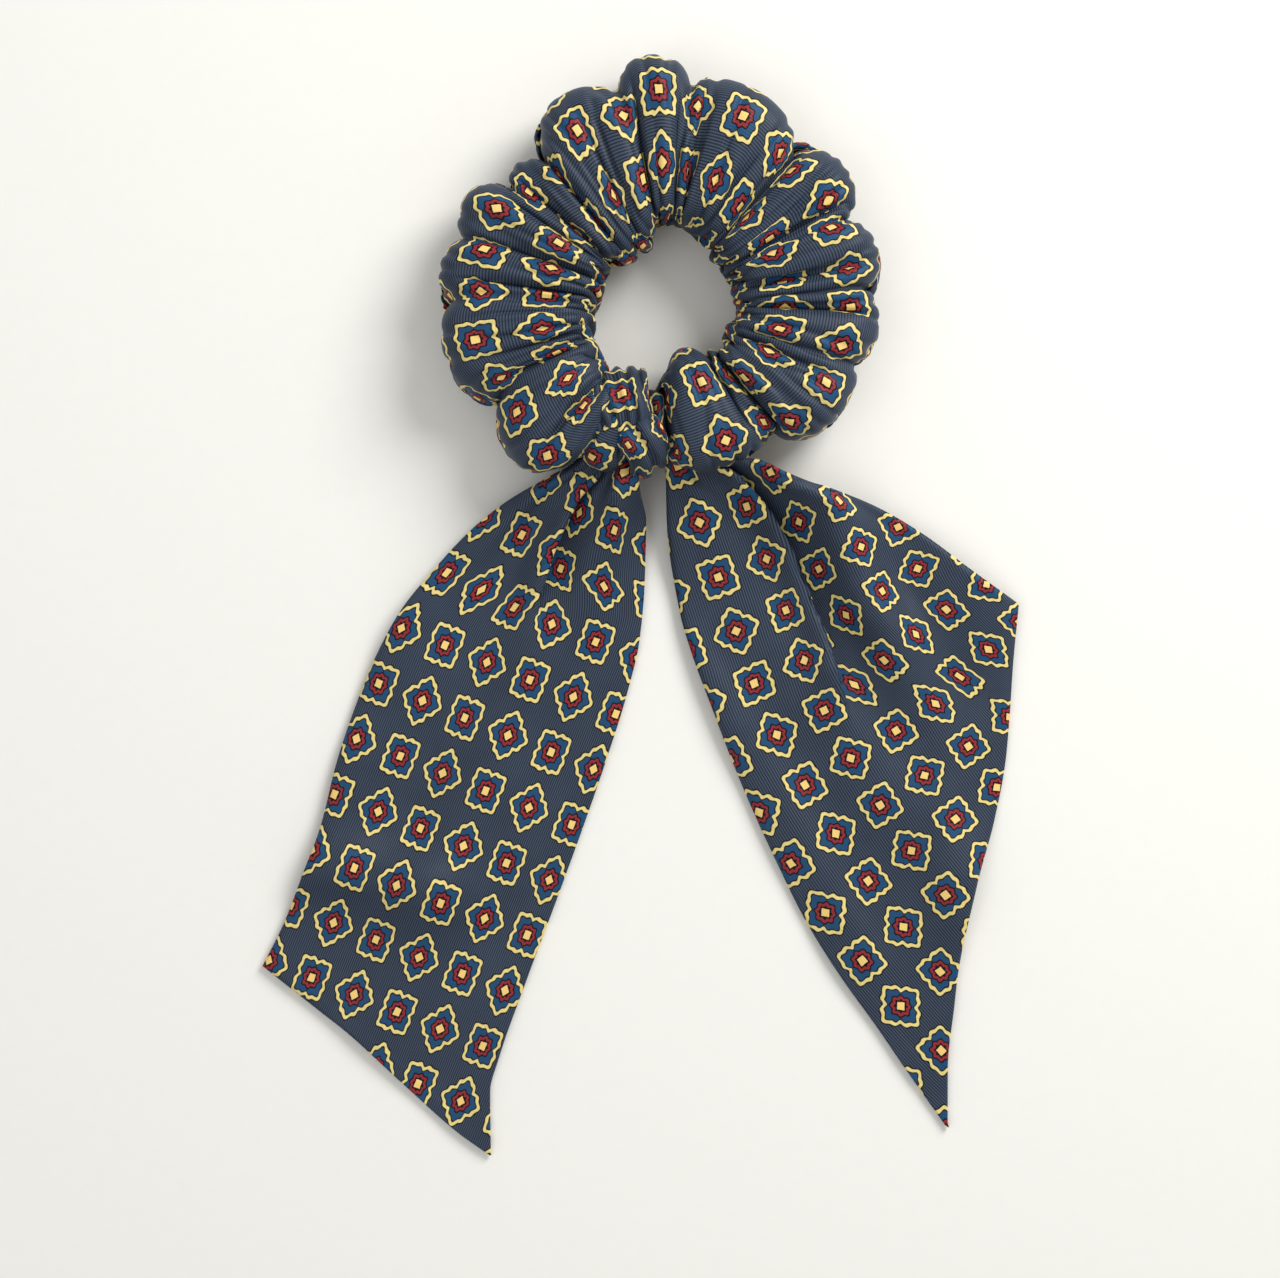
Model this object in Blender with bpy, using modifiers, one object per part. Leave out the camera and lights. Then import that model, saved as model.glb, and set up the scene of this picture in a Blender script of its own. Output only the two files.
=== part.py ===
"""Scarf scrunchie lying flat: a gathered cloth ring over a hidden elastic loop, with a scarf knotted round
its lower side and two long tails. Metres, +Z up, the tails lie along -Y, all of it rests on z = 0."""
import math

import bmesh
import bpy
from mathutils import Matrix, Vector

MM = 0.001

# ---- driving dimensions, in millimetres ------------------------------------------------------------
HOLE_CENTRE = (6.9, 75.0)  # middle of the ring's opening
HOLE_SEMI = (15.5, 17.0)  # half sizes of the opening along X and Y
RING_MID_Z = 12.5  # height of the gathered tube's middle
PUFF_HALF_HEIGHT = 12.5  # the fullest puffs just touch the floor
PUFF_CRESTS = (  # each puff: its direction from the opening's centre in degrees, its reach
    (17, 54.5), (40, 56.0), (57, 50.5), (72, 58.0), (93, 62.25), (111, 57.5), (134, 51.8), (149, 55.3),
    (171, 57.3), (192, 57.4), (224, 53.6), (256, 31.2), (293, 40.6), (314, 44.5), (343, 52.4),
)
PUFF_DIP = 4.6  # depth of the crease between two puffs
DIP_SHARPNESS = 1.6  # above 1, the crease is narrower than the puff
DIP_SHARE = 0.13  # the tube is this much lower in a crease
FULL_HALF_WIDTH = 18.0  # a tube at least this half width is at its full height
SLIM_SHARE = 0.66  # the height's share that the slimmest tube keeps
INNER_RIPPLE = 0.8  # depth of the gathers at the opening
INNER_GATHERS = 20
PINCH_AT = 256.0  # where the scarf squeezes the tube, in degrees
PINCH_HALF = (7.2, 8.0)  # half sizes of the squeezed tube
PINCH_SPAN = 24.0  # half the angle over which it is squeezed
CLOTH = 0.9  # gathered cover cloth
GAP = 0.35  # clearance between touching pieces
SPLIT_GAP_DEG = 1.5  # each half stops this far short of the split line
RING_STEPS, TUBE_STEPS = 48, 16

ELASTIC_INSET = 4.2  # the elastic lies this far inside the tube's inner wall
ELASTIC_WIDTH, ELASTIC_THICK = 6.0, 0.9
ELASTIC_OVERLAP_DEG = 24.0  # the two sewn ends lie over each other
ELASTIC_JOIN_AT = 205.0
ELASTIC_PINCH_SHIFT = 0.4  # it lies this much further in under the scarf
ELASTIC_STEPS_AT = (0.80, 0.12)  # where along the strip its end steps out over its start, and how fast
JOIN_TURNS, JOIN_PITCH, JOIN_SLACK = 4, 1.5, 0.55  # the thread whipped round the overlap
THREAD_R = 0.3

SEAM_ROUND = 262.0  # the lengthwise seam's place round the tube, on its underside
SEAM_CLEAR = 0.35  # its clearance from the cloth, over the usual gap
SEAM_ENDS_DEG, SEAM_STEPS = 3.0, 58
CLOSE_AT, CLOSE_FROM, CLOSE_TO = 83.0, 35.0, 150.0  # the hand-sewn closing seam, in degrees
CLOSE_HALF_DEG, CLOSE_CLEAR, CLOSE_STEPS = 0.9, 0.75, 20

LOOP_HALF_WIDTH, LOOP_THICK = 4.6, 1.7
LOOP_CLEAR = 0.5  # its clearance from the tube, over the usual gap
KNOT_CENTRE = (-1.0, 35.7, 11.2)
KNOT_HALF = (8.3, 4.5, 7.6)
KNOT_ROUNDING = 4.2

SHEET = 0.8  # each layer of the doubled scarf
LAYER_GAP = 0.3
SWING_Y = 29.6  # both tails swing about this line, at the foot of the knot
FOLD_Y = {"left": -48.0, "right": -45.0}
SWING_GAP, FOLD_GAP = 1.8, 2.2
TAIL_EDGES = {
    # the edge further from the middle, the slanting cut end, and the edge nearer the middle
    "left": (
        ((-24, 33), (-42, 20), (-52, 10), (-66, -10), (-76, -38), (-81, -56), (-86.5, -69), (-95, -89.4)),
        ((-95, -89.4), (-79, -101.6), (-60, -119), (-46.5, -131), (-37.6, -137)),
        ((-37.6, -137), (-38, -121), (-28, -91), (-8.5, -38), (-0.5, -8), (1.2, 12), (0, 33)),
    ),
    "right": (
        ((38, 33), (57, 26.5), (70, 19.5), (83, 10), (95, 1.6)),
        ((95, 1.6), (93, -26), (89, -53), (81, -90), (77.5, -112), (77, -130)),
        ((77, -130), (60, -105), (41, -77), (23, -38), (12.5, -10), (7, 16), (6.5, 33)),
    ),
}
TAIL_STEPS = 4  # points between two of those

SATIN = (0.045, 0.055, 0.085, 1.0)
LINING = (0.040, 0.048, 0.075, 1.0)
ELASTIC_COLOUR = (0.75, 0.74, 0.70, 1.0)
THREAD_COLOUR = (0.03, 0.035, 0.06, 1.0)

# ---- scene -----------------------------------------------------------------------------------------
for old in list(bpy.data.objects):
    bpy.data.objects.remove(old, do_unlink=True)
parts = bpy.data.collections.new("parts")
cutters = bpy.data.collections.new("cutters")
for group in (parts, cutters):
    bpy.context.scene.collection.children.link(group)
cutters.hide_render = True


def material(name, colour, rough, sheen=0.0):
    mat = bpy.data.materials.new(name)
    mat.use_nodes = True
    shader = next(n for n in mat.node_tree.nodes if n.type == "BSDF_PRINCIPLED")
    shader.inputs["Base Color"].default_value = colour
    shader.inputs["Roughness"].default_value = rough
    shader.inputs["Sheen Weight"].default_value = sheen
    return mat


def add(name, mesh, mat, pivot=None):
    """An object in the parts collection. With a pivot, its origin lies there and it follows that empty."""
    obj = bpy.data.objects.new(name, mesh)
    parts.objects.link(obj)
    mesh.materials.append(mat)
    if pivot is not None:
        origin = pivot_places[pivot.name]
        for vertex in mesh.vertices:
            vertex.co -= origin
        obj.parent = pivot
    return obj


pivot_places = {}


def pivot(name, place, parent=None):
    empty = bpy.data.objects.new(name, None)
    empty.empty_display_size = 10 * MM
    parts.objects.link(empty)
    where = Vector(place) * MM
    pivot_places[name] = where
    empty.parent = parent
    empty.location = where - (pivot_places[parent.name] if parent else Vector())
    return empty


def solidify(obj, thickness, offset):
    made = obj.modifiers.new("thickness", "SOLIDIFY")
    made.thickness = thickness * MM
    made.offset = offset
    made.use_even_offset = False
    made.use_rim = True
    return made


# ---- the gathered ring -----------------------------------------------------------------------------
def hole_reach(deg):
    turn = math.radians(deg)
    rx, ry = HOLE_SEMI
    return rx * ry / math.hypot(ry * math.cos(turn), rx * math.sin(turn))


def crest_reach(deg):
    """The tube's outer reach, and how deep in a crease this direction is (0 on a crest, 1 in the crease)."""
    deg %= 360
    around = [(PUFF_CRESTS[-1][0] - 360, PUFF_CRESTS[-1][1]), *PUFF_CRESTS]
    around.append((PUFF_CRESTS[0][0] + 360, PUFF_CRESTS[0][1]))
    for (a0, r0), (a1, r1) in zip(around, around[1:]):
        if a0 <= deg <= a1:
            part = (deg - a0) / (a1 - a0)
            deep = (1 - abs(2 * part - 1)) ** DIP_SHARPNESS
            smooth = part * part * (3 - 2 * part)
            return r0 + (r1 - r0) * smooth - PUFF_DIP * deep, deep
    raise ValueError(deg)


def squeeze(deg):
    away = abs((deg - PINCH_AT + 180) % 360 - 180) / PINCH_SPAN
    return math.exp(-(away**4))


def section(deg):
    """Middle reach, half width and half height of the tube's section in this direction, in millimetres."""
    outer, deep = crest_reach(deg)
    inner = hole_reach(deg) + INNER_RIPPLE * (1 - math.cos(math.radians(deg * INNER_GATHERS))) / 2
    held = squeeze(deg)
    half_w = (outer - inner) / 2
    slim = min(1.0, SLIM_SHARE + (1 - SLIM_SHARE) * half_w / FULL_HALF_WIDTH)
    half_h = PUFF_HALF_HEIGHT * (1 - DIP_SHARE * deep) * slim
    half_w += held * (PINCH_HALF[0] - half_w)
    half_h += held * (PINCH_HALF[1] - half_h)
    return inner + half_w, half_w, half_h


def tube_point(deg, round_deg, inwards=0.0):
    middle, half_w, half_h = section(deg)
    across, up = math.cos(math.radians(round_deg)), math.sin(math.radians(round_deg))
    reach = middle + (half_w - inwards) * across
    turn = math.radians(deg)
    return Vector((
        (HOLE_CENTRE[0] + reach * math.cos(turn)) * MM,
        (HOLE_CENTRE[1] + reach * math.sin(turn)) * MM,
        (RING_MID_Z + (half_h - inwards) * up) * MM,
    ))


def tube(start, end):
    """Half of the ring's tube, open at both ends, with its faces turned outwards."""
    work = bmesh.new()
    rings = [
        [
            work.verts.new(tube_point(start + (end - start) * i / RING_STEPS, 360 * k / TUBE_STEPS))
            for k in range(TUBE_STEPS)
        ]
        for i in range(RING_STEPS + 1)
    ]
    for one, two in zip(rings, rings[1:]):
        for k in range(TUBE_STEPS):
            n = (k + 1) % TUBE_STEPS
            work.faces.new((one[k], one[n], two[n], two[k]))
    # an open tube has no inside to find, so its nearest face to the middle section's heart shows the way
    turn = math.radians((start + end) / 2)
    reach = section((start + end) / 2)[0]
    heart = MM * Vector((
        HOLE_CENTRE[0] + reach * math.cos(turn), HOLE_CENTRE[1] + reach * math.sin(turn), RING_MID_Z
    ))
    face = min(work.faces, key=lambda f: (f.calc_center_median() - heart).length)
    face.normal_update()
    if (face.calc_center_median() - heart).dot(face.normal) < 0:
        bmesh.ops.reverse_faces(work, faces=work.faces)
    mesh = bpy.data.meshes.new("cover")
    work.to_mesh(mesh)
    work.free()
    return mesh


satin = {n: material(n, SATIN, 0.42, 0.3) for n in ("cover_lower", "cover_upper", "scarf_loop", "scarf_knot")}
ring_pivot = pivot("ring_stretch_axis", (*HOLE_CENTRE, RING_MID_Z))
for name, first, last, moved in (
    ("cover_lower", 180 + SPLIT_GAP_DEG, 360 - SPLIT_GAP_DEG, None),
    ("cover_upper", SPLIT_GAP_DEG, 180 - SPLIT_GAP_DEG, ring_pivot),
):
    cover = add(name, tube(first, last), satin[name], moved)
    solidify(cover, CLOTH, -1.0)


def cord(name, points, radius, mat, moved=None, closed=False, sides=0):
    """A thread: a curve with a round bevel, made into a mesh."""
    curve = bpy.data.curves.new(name, "CURVE")
    curve.dimensions = "3D"
    curve.bevel_depth = radius * MM
    curve.bevel_resolution = sides
    curve.use_fill_caps = not closed
    line = curve.splines.new("POLY")
    line.points.add(len(points) - 1)
    for spot, place in zip(line.points, points):
        spot.co = (*place, 1.0)
    line.use_cyclic_u = closed
    helper = bpy.data.objects.new(name + "_path", curve)
    cutters.objects.link(helper)
    bpy.context.view_layer.update()
    mesh = bpy.data.meshes.new_from_object(helper.evaluated_get(bpy.context.evaluated_depsgraph_get()))
    bpy.data.objects.remove(helper, do_unlink=True)
    work = bmesh.new()
    work.from_mesh(mesh)
    bmesh.ops.remove_doubles(work, verts=work.verts, dist=1e-6)
    bmesh.ops.recalc_face_normals(work, faces=work.faces)
    work.to_mesh(mesh)
    work.free()
    mesh.materials.clear()
    return add(name, mesh, mat, moved)


# the cover's lengthwise seam runs inside the tube, along its underside
seam_inset = CLOTH + GAP + THREAD_R + SEAM_CLEAR
for name, first, last, moved in (
    ("cover_seam_lower", 180 + SEAM_ENDS_DEG, 360 - SEAM_ENDS_DEG, None),
    ("cover_seam_upper", SEAM_ENDS_DEG, 180 - SEAM_ENDS_DEG, ring_pivot),
):
    path = [
        tube_point(first + (last - first) * i / SEAM_STEPS, SEAM_ROUND, seam_inset)
        for i in range(SEAM_STEPS + 1)
    ]
    cord(name, path, THREAD_R, material(name, THREAD_COLOUR, 0.6), moved)

# the short hand-sewn seam that closes the tube, in a crease on the upper side
path = [
    tube_point(
        CLOSE_AT + (CLOSE_HALF_DEG if i % 2 else -CLOSE_HALF_DEG),
        CLOSE_FROM + (CLOSE_TO - CLOSE_FROM) * i / CLOSE_STEPS,
        -(GAP + THREAD_R + CLOSE_CLEAR),
    )
    for i in range(CLOSE_STEPS + 1)
]
cord("closing_stitch", path, THREAD_R, material("closing_stitch", THREAD_COLOUR, 0.6), ring_pivot)


# ---- the elastic: one flat strip whose ends overlap and are sewn ------------------------------------
def elastic_place(deg, extra):
    turn = math.radians(deg)
    reach = hole_reach(deg) + CLOTH + ELASTIC_INSET + extra
    reach -= squeeze(deg) * ELASTIC_PINCH_SHIFT
    return HOLE_CENTRE[0] + reach * math.cos(turn), HOLE_CENTRE[1] + reach * math.sin(turn)


STRIP_STEPS = 72
whole = 360 + ELASTIC_OVERLAP_DEG
strip = bmesh.new()
lower, upper = [], []
for i in range(STRIP_STEPS + 1):
    deg = ELASTIC_JOIN_AT - ELASTIC_OVERLAP_DEG / 2 + whole * i / STRIP_STEPS
    share = (i / STRIP_STEPS - ELASTIC_STEPS_AT[0]) / ELASTIC_STEPS_AT[1]
    step_out = (ELASTIC_THICK + GAP) * max(0.0, min(1.0, share))
    x, y = elastic_place(deg, step_out)
    for row, z in ((lower, -0.5), (upper, 0.5)):
        row.append(strip.verts.new((x * MM, y * MM, (RING_MID_Z + z * ELASTIC_WIDTH) * MM)))
for i in range(STRIP_STEPS):
    strip.faces.new((lower[i], lower[i + 1], upper[i + 1], upper[i]))
mesh = bpy.data.meshes.new("elastic")
strip.to_mesh(mesh)
strip.free()
elastic = add("elastic_band", mesh, material("elastic_band", ELASTIC_COLOUR, 0.8))
solidify(elastic, ELASTIC_THICK, 0.0)

# the thread that joins the elastic's ends, whipped round both of them
mid_x, mid_y = elastic_place(ELASTIC_JOIN_AT, (ELASTIC_THICK + GAP) / 2)
out = Vector((math.cos(math.radians(ELASTIC_JOIN_AT)), math.sin(math.radians(ELASTIC_JOIN_AT)), 0))
along = Vector((-out.y, out.x, 0))
half_deep = ELASTIC_THICK + GAP / 2 + JOIN_SLACK + THREAD_R
half_tall = ELASTIC_WIDTH / 2 + GAP + THREAD_R
heart = Vector((mid_x, mid_y, RING_MID_Z))
path = []
for i in range(JOIN_TURNS * 4 + 1):
    side, height = ((-1, -1), (1, -1), (1, 1), (-1, 1))[i % 4]
    place = out * side * half_deep + along * (i / 4 - JOIN_TURNS / 2) * JOIN_PITCH
    path.append((heart + place + Vector((0, 0, height * half_tall))) * MM)
cord("elastic_stitch", path, THREAD_R, material("elastic_stitch", THREAD_COLOUR, 0.6))

# ---- the scarf's loop round the ring, and its knot --------------------------------------------------
pinch = math.radians(PINCH_AT)
middle = section(PINCH_AT)[0]
bpy.ops.mesh.primitive_cylinder_add(
    vertices=32, radius=1.0, depth=2.0, end_fill_type="NOTHING",
    location=(
        (HOLE_CENTRE[0] + middle * math.cos(pinch)) * MM,
        (HOLE_CENTRE[1] + middle * math.sin(pinch)) * MM,
        RING_MID_Z * MM,
    ),
)
loop = bpy.context.object
loop.name = "scarf_loop"
for group in list(loop.users_collection):
    group.objects.unlink(loop)
parts.objects.link(loop)
# its axis runs along the tube: local x is up, local y points outwards from the opening
axis = Vector((-math.sin(pinch), math.cos(pinch), 0))
outward = Vector((math.cos(pinch), math.sin(pinch), 0))
up = Vector((0, 0, 1))
clear = GAP + LOOP_CLEAR
for vertex in loop.data.vertices:
    place = (
        up * vertex.co.x * (PINCH_HALF[1] + clear)
        + outward * vertex.co.y * (PINCH_HALF[0] + clear)
        + axis * vertex.co.z * LOOP_HALF_WIDTH
    )
    vertex.co = place * MM
work = bmesh.new()
work.from_mesh(loop.data)
face = next(iter(work.faces))
face.normal_update()
if face.calc_center_median().dot(face.normal) < 0:
    bmesh.ops.reverse_faces(work, faces=work.faces)
work.to_mesh(loop.data)
work.free()
loop.data.materials.append(satin["scarf_loop"])
solidify(loop, LOOP_THICK, 1.0)

bpy.ops.mesh.primitive_cube_add(size=2.0, location=Vector(KNOT_CENTRE) * MM)
knot = bpy.context.object
knot.name = "scarf_knot"
for group in list(knot.users_collection):
    group.objects.unlink(knot)
parts.objects.link(knot)
knot.data.transform(
    Matrix.Diagonal((KNOT_HALF[0] * MM, KNOT_HALF[1] * MM, KNOT_HALF[2] * MM, 1.0))
)
knot.data.materials.append(satin["scarf_knot"])
rounded = knot.modifiers.new("rounded", "BEVEL")
rounded.width = KNOT_ROUNDING * MM
rounded.segments = 5


# ---- the tails: two layers each, in two lengths that swing and fold ----------------------------------
def eased(points, steps):
    """A smooth line through the points."""
    line = []
    for i in range(len(points) - 1):
        p0, p1 = points[max(i - 1, 0)], points[i]
        p2, p3 = points[i + 1], points[min(i + 2, len(points) - 1)]
        for k in range(steps):
            t = k / steps
            line.append(tuple(
                b + 0.5 * (c - a) * t + 0.5 * (2 * a - 5 * b + 4 * c - d) * t**2
                + 0.5 * (3 * b - a - 3 * c + d) * t**3
                for a, b, c, d in zip(p0, p1, p2, p3)
            ))
    return line


def tail_panel(side, low, high, z):
    """One layer's outline at height z, kept between two distances along Y (None is no cut)."""
    outline = [place for edge in TAIL_EDGES[side] for place in eased(edge, TAIL_STEPS)]
    outline.append(TAIL_EDGES[side][2][-1])
    work = bmesh.new()
    work.faces.new([work.verts.new((x * MM, y * MM, z * MM)) for x, y in outline])
    for height, way in ((low, -1), (high, 1)):
        if height is not None:
            bmesh.ops.bisect_plane(
                work, geom=[*work.verts, *work.edges, *work.faces], dist=1e-7,
                plane_co=(0, height * MM, 0), plane_no=(0, way, 0), clear_outer=True,
            )
    for face in work.faces:
        face.normal_update()
        if face.normal.z < 0:
            face.normal_flip()
    mesh = bpy.data.meshes.new("panel")
    work.to_mesh(mesh)
    work.free()
    return mesh


for side in ("left", "right"):
    mid_z = SHEET + LAYER_GAP / 2
    swing = pivot(side + "_swing_axis", (0, SWING_Y, mid_z))
    fold = pivot(side + "_fold_axis", (0, FOLD_Y[side], mid_z), swing)
    spans = (
        ("upper", FOLD_Y[side] + FOLD_GAP / 2, SWING_Y - SWING_GAP / 2, swing),
        ("lower", None, FOLD_Y[side] - FOLD_GAP / 2, fold),
    )
    for length, low, high, moved in spans:
        for layer, z, colour in (("back", 0.0, LINING), ("face", SHEET + LAYER_GAP, SATIN)):
            name = f"{side}_tail_{length}_{layer}"
            panel = add(name, tail_panel(side, low, high, z), material(name, colour, 0.42, 0.3), moved)
            solidify(panel, SHEET, 1.0)
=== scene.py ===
"""Scarf scrunchie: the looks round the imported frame. Lengths in metres, the same frame as the CAD."""
import math

import bmesh
import bpy
import numpy as np
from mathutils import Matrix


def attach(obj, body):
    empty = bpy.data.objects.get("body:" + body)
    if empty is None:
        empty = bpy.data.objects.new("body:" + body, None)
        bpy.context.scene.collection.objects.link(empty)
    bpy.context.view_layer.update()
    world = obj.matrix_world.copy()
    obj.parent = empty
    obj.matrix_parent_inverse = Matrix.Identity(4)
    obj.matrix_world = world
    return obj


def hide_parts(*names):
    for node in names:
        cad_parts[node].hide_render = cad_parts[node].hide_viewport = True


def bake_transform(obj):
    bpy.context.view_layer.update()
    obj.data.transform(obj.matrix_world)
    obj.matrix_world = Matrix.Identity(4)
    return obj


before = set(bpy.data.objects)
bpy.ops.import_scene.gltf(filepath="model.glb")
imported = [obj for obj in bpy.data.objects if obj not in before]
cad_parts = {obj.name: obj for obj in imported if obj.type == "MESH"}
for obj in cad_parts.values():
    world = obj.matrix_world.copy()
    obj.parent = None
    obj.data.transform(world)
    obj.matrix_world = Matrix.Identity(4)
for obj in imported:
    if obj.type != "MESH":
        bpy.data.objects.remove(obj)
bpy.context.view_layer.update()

MM = 0.001
PITCH = 19.0 * MM  # the print's repeat along the weave
TWILL = 0.62 * MM  # the twill ribs' spacing
HOLE = np.array([6.9, 75.0]) * MM  # middle of the ring's opening

# ---- camera, floor and light -----------------------------------------------------------------------
SENSOR_MM, LENS_MM = 36.0, 90.0
CAMERA_AT = (-0.0001, -0.0072, 0.806)  # straight above, as the photo was taken
SKY_COLOUR, SKY_STRENGTH = (1.0, 0.985, 0.955, 1.0), 0.50
WARM, COOL = (1.0, 0.985, 0.96), (0.95, 0.97, 1.0)
FLOOR_REACH = 1.6

scene = bpy.context.scene
camera = bpy.data.objects.new("camera", bpy.data.cameras.new("camera"))
scene.collection.objects.link(camera)
camera.data.sensor_width = SENSOR_MM
camera.data.lens = LENS_MM
camera.location = CAMERA_AT
scene.camera = camera
scene.view_settings.view_transform = "Standard"

world = bpy.data.worlds.new("studio")
scene.world = world
world.use_nodes = True
world.node_tree.nodes["Background"].inputs["Color"].default_value = SKY_COLOUR
world.node_tree.nodes["Background"].inputs["Strength"].default_value = SKY_STRENGTH


def area_light(name, place, size, power, colour):
    """A round soft light that faces the object's middle."""
    data = bpy.data.lights.new(name, "AREA")
    data.shape = "DISK"
    data.size = size
    data.energy = power
    data.color = colour
    lamp = bpy.data.objects.new(name, data)
    scene.collection.objects.link(lamp)
    way = -np.array(place)
    flat = math.hypot(way[0], way[1])
    lamp.location = place
    lamp.rotation_euler = (math.atan2(flat, -way[2]), 0.0, math.atan2(way[1], way[0]) - math.pi / 2)


area_light("window", (0.55, 0.60, 0.62), size=0.56, power=8.7, colour=WARM)
area_light("fill", (-0.5, -0.2, 0.9), size=0.8, power=1.6, colour=COOL)


# ---- shader building -------------------------------------------------------------------------------
class Graph:
    """Short names for building a material's nodes."""

    def __init__(self, name):
        self.material = bpy.data.materials.new(name)
        self.material.use_nodes = True
        self.tree = self.material.node_tree
        self.shader = next(n for n in self.tree.nodes if n.type == "BSDF_PRINCIPLED")

    def node(self, kind, **settings):
        made = self.tree.nodes.new(kind)
        for key, value in settings.items():
            setattr(made, key, value)
        return made

    def put(self, socket, value):
        if isinstance(value, bpy.types.NodeSocket):
            self.tree.links.new(value, socket)
        else:
            socket.default_value = value

    def maths(self, operation, *values):
        made = self.node("ShaderNodeMath", operation=operation)
        for socket, value in zip(made.inputs, values):
            self.put(socket, value)
        return made.outputs[0]

    def step(self, value, low, high):
        made = self.node("ShaderNodeMapRange", interpolation_type="SMOOTHSTEP")
        for key, what in (("Value", value), ("From Min", low), ("From Max", high)):
            self.put(made.inputs[key], what)
        return made.outputs["Result"]

    def mix(self, share, one, two):
        made = self.node("ShaderNodeMix", data_type="RGBA")
        self.put(made.inputs["Factor"], share)
        colours = [s for s in made.inputs if s.type == "RGBA"]
        for socket, value in zip(colours, (one, two)):
            self.put(socket, value)
        return next(s for s in made.outputs if s.type == "RGBA")

    def noise(self, where, scale, detail=2.0, rough=0.5):
        made = self.node("ShaderNodeTexNoise")
        self.put(made.inputs["Vector"], where)
        self.put(made.inputs["Scale"], scale)
        self.put(made.inputs["Detail"], detail)
        self.put(made.inputs["Roughness"], rough)
        return made.outputs["Fac"]

    def place(self):
        return self.node("ShaderNodeTexCoord").outputs["Object"]


def srgb(r, g, b):
    def line(c):
        c /= 255.0
        return c / 12.92 if c <= 0.04045 else ((c + 0.055) / 1.055) ** 2.4
    return (line(r), line(g), line(b), 1.0)


NAVY, NAVY_WARP = srgb(17, 21, 27), srgb(74, 88, 110)
CREAM, CREAM_DEEP = srgb(244, 229, 158), srgb(214, 191, 112)
# The motif in millimetres. An outline is a circle's reach, its four sides' dip and its scallops' depth.
CREAM_OUTLINE, CREAM_HALF, CREAM_INK_HALF = (4.62, 0.66, 0.26), 0.43, 0.78
PETAL_OUTLINE, PETAL_MIDDLE, PETAL_HALF = (2.30, 0.06, -0.22), -0.40, 0.38
BLUE_FROM, PETAL_INK = (-0.85, -0.75), (0.28, 0.42)
CENTRE_HALF, CENTRE_INK_HALF = (0.84, 0.96), (1.20, 1.34)
LINE_SOFT = 0.12
WOBBLE, WOBBLE_SCALE = 0.026, 9.0  # how unevenly the print lies, in repeats
TWILL_DEPTH = 0.00009
BLUE, RED, CENTRE, INK = srgb(32, 74, 112), srgb(142, 44, 52), srgb(242, 206, 126), srgb(8, 8, 12)


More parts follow.
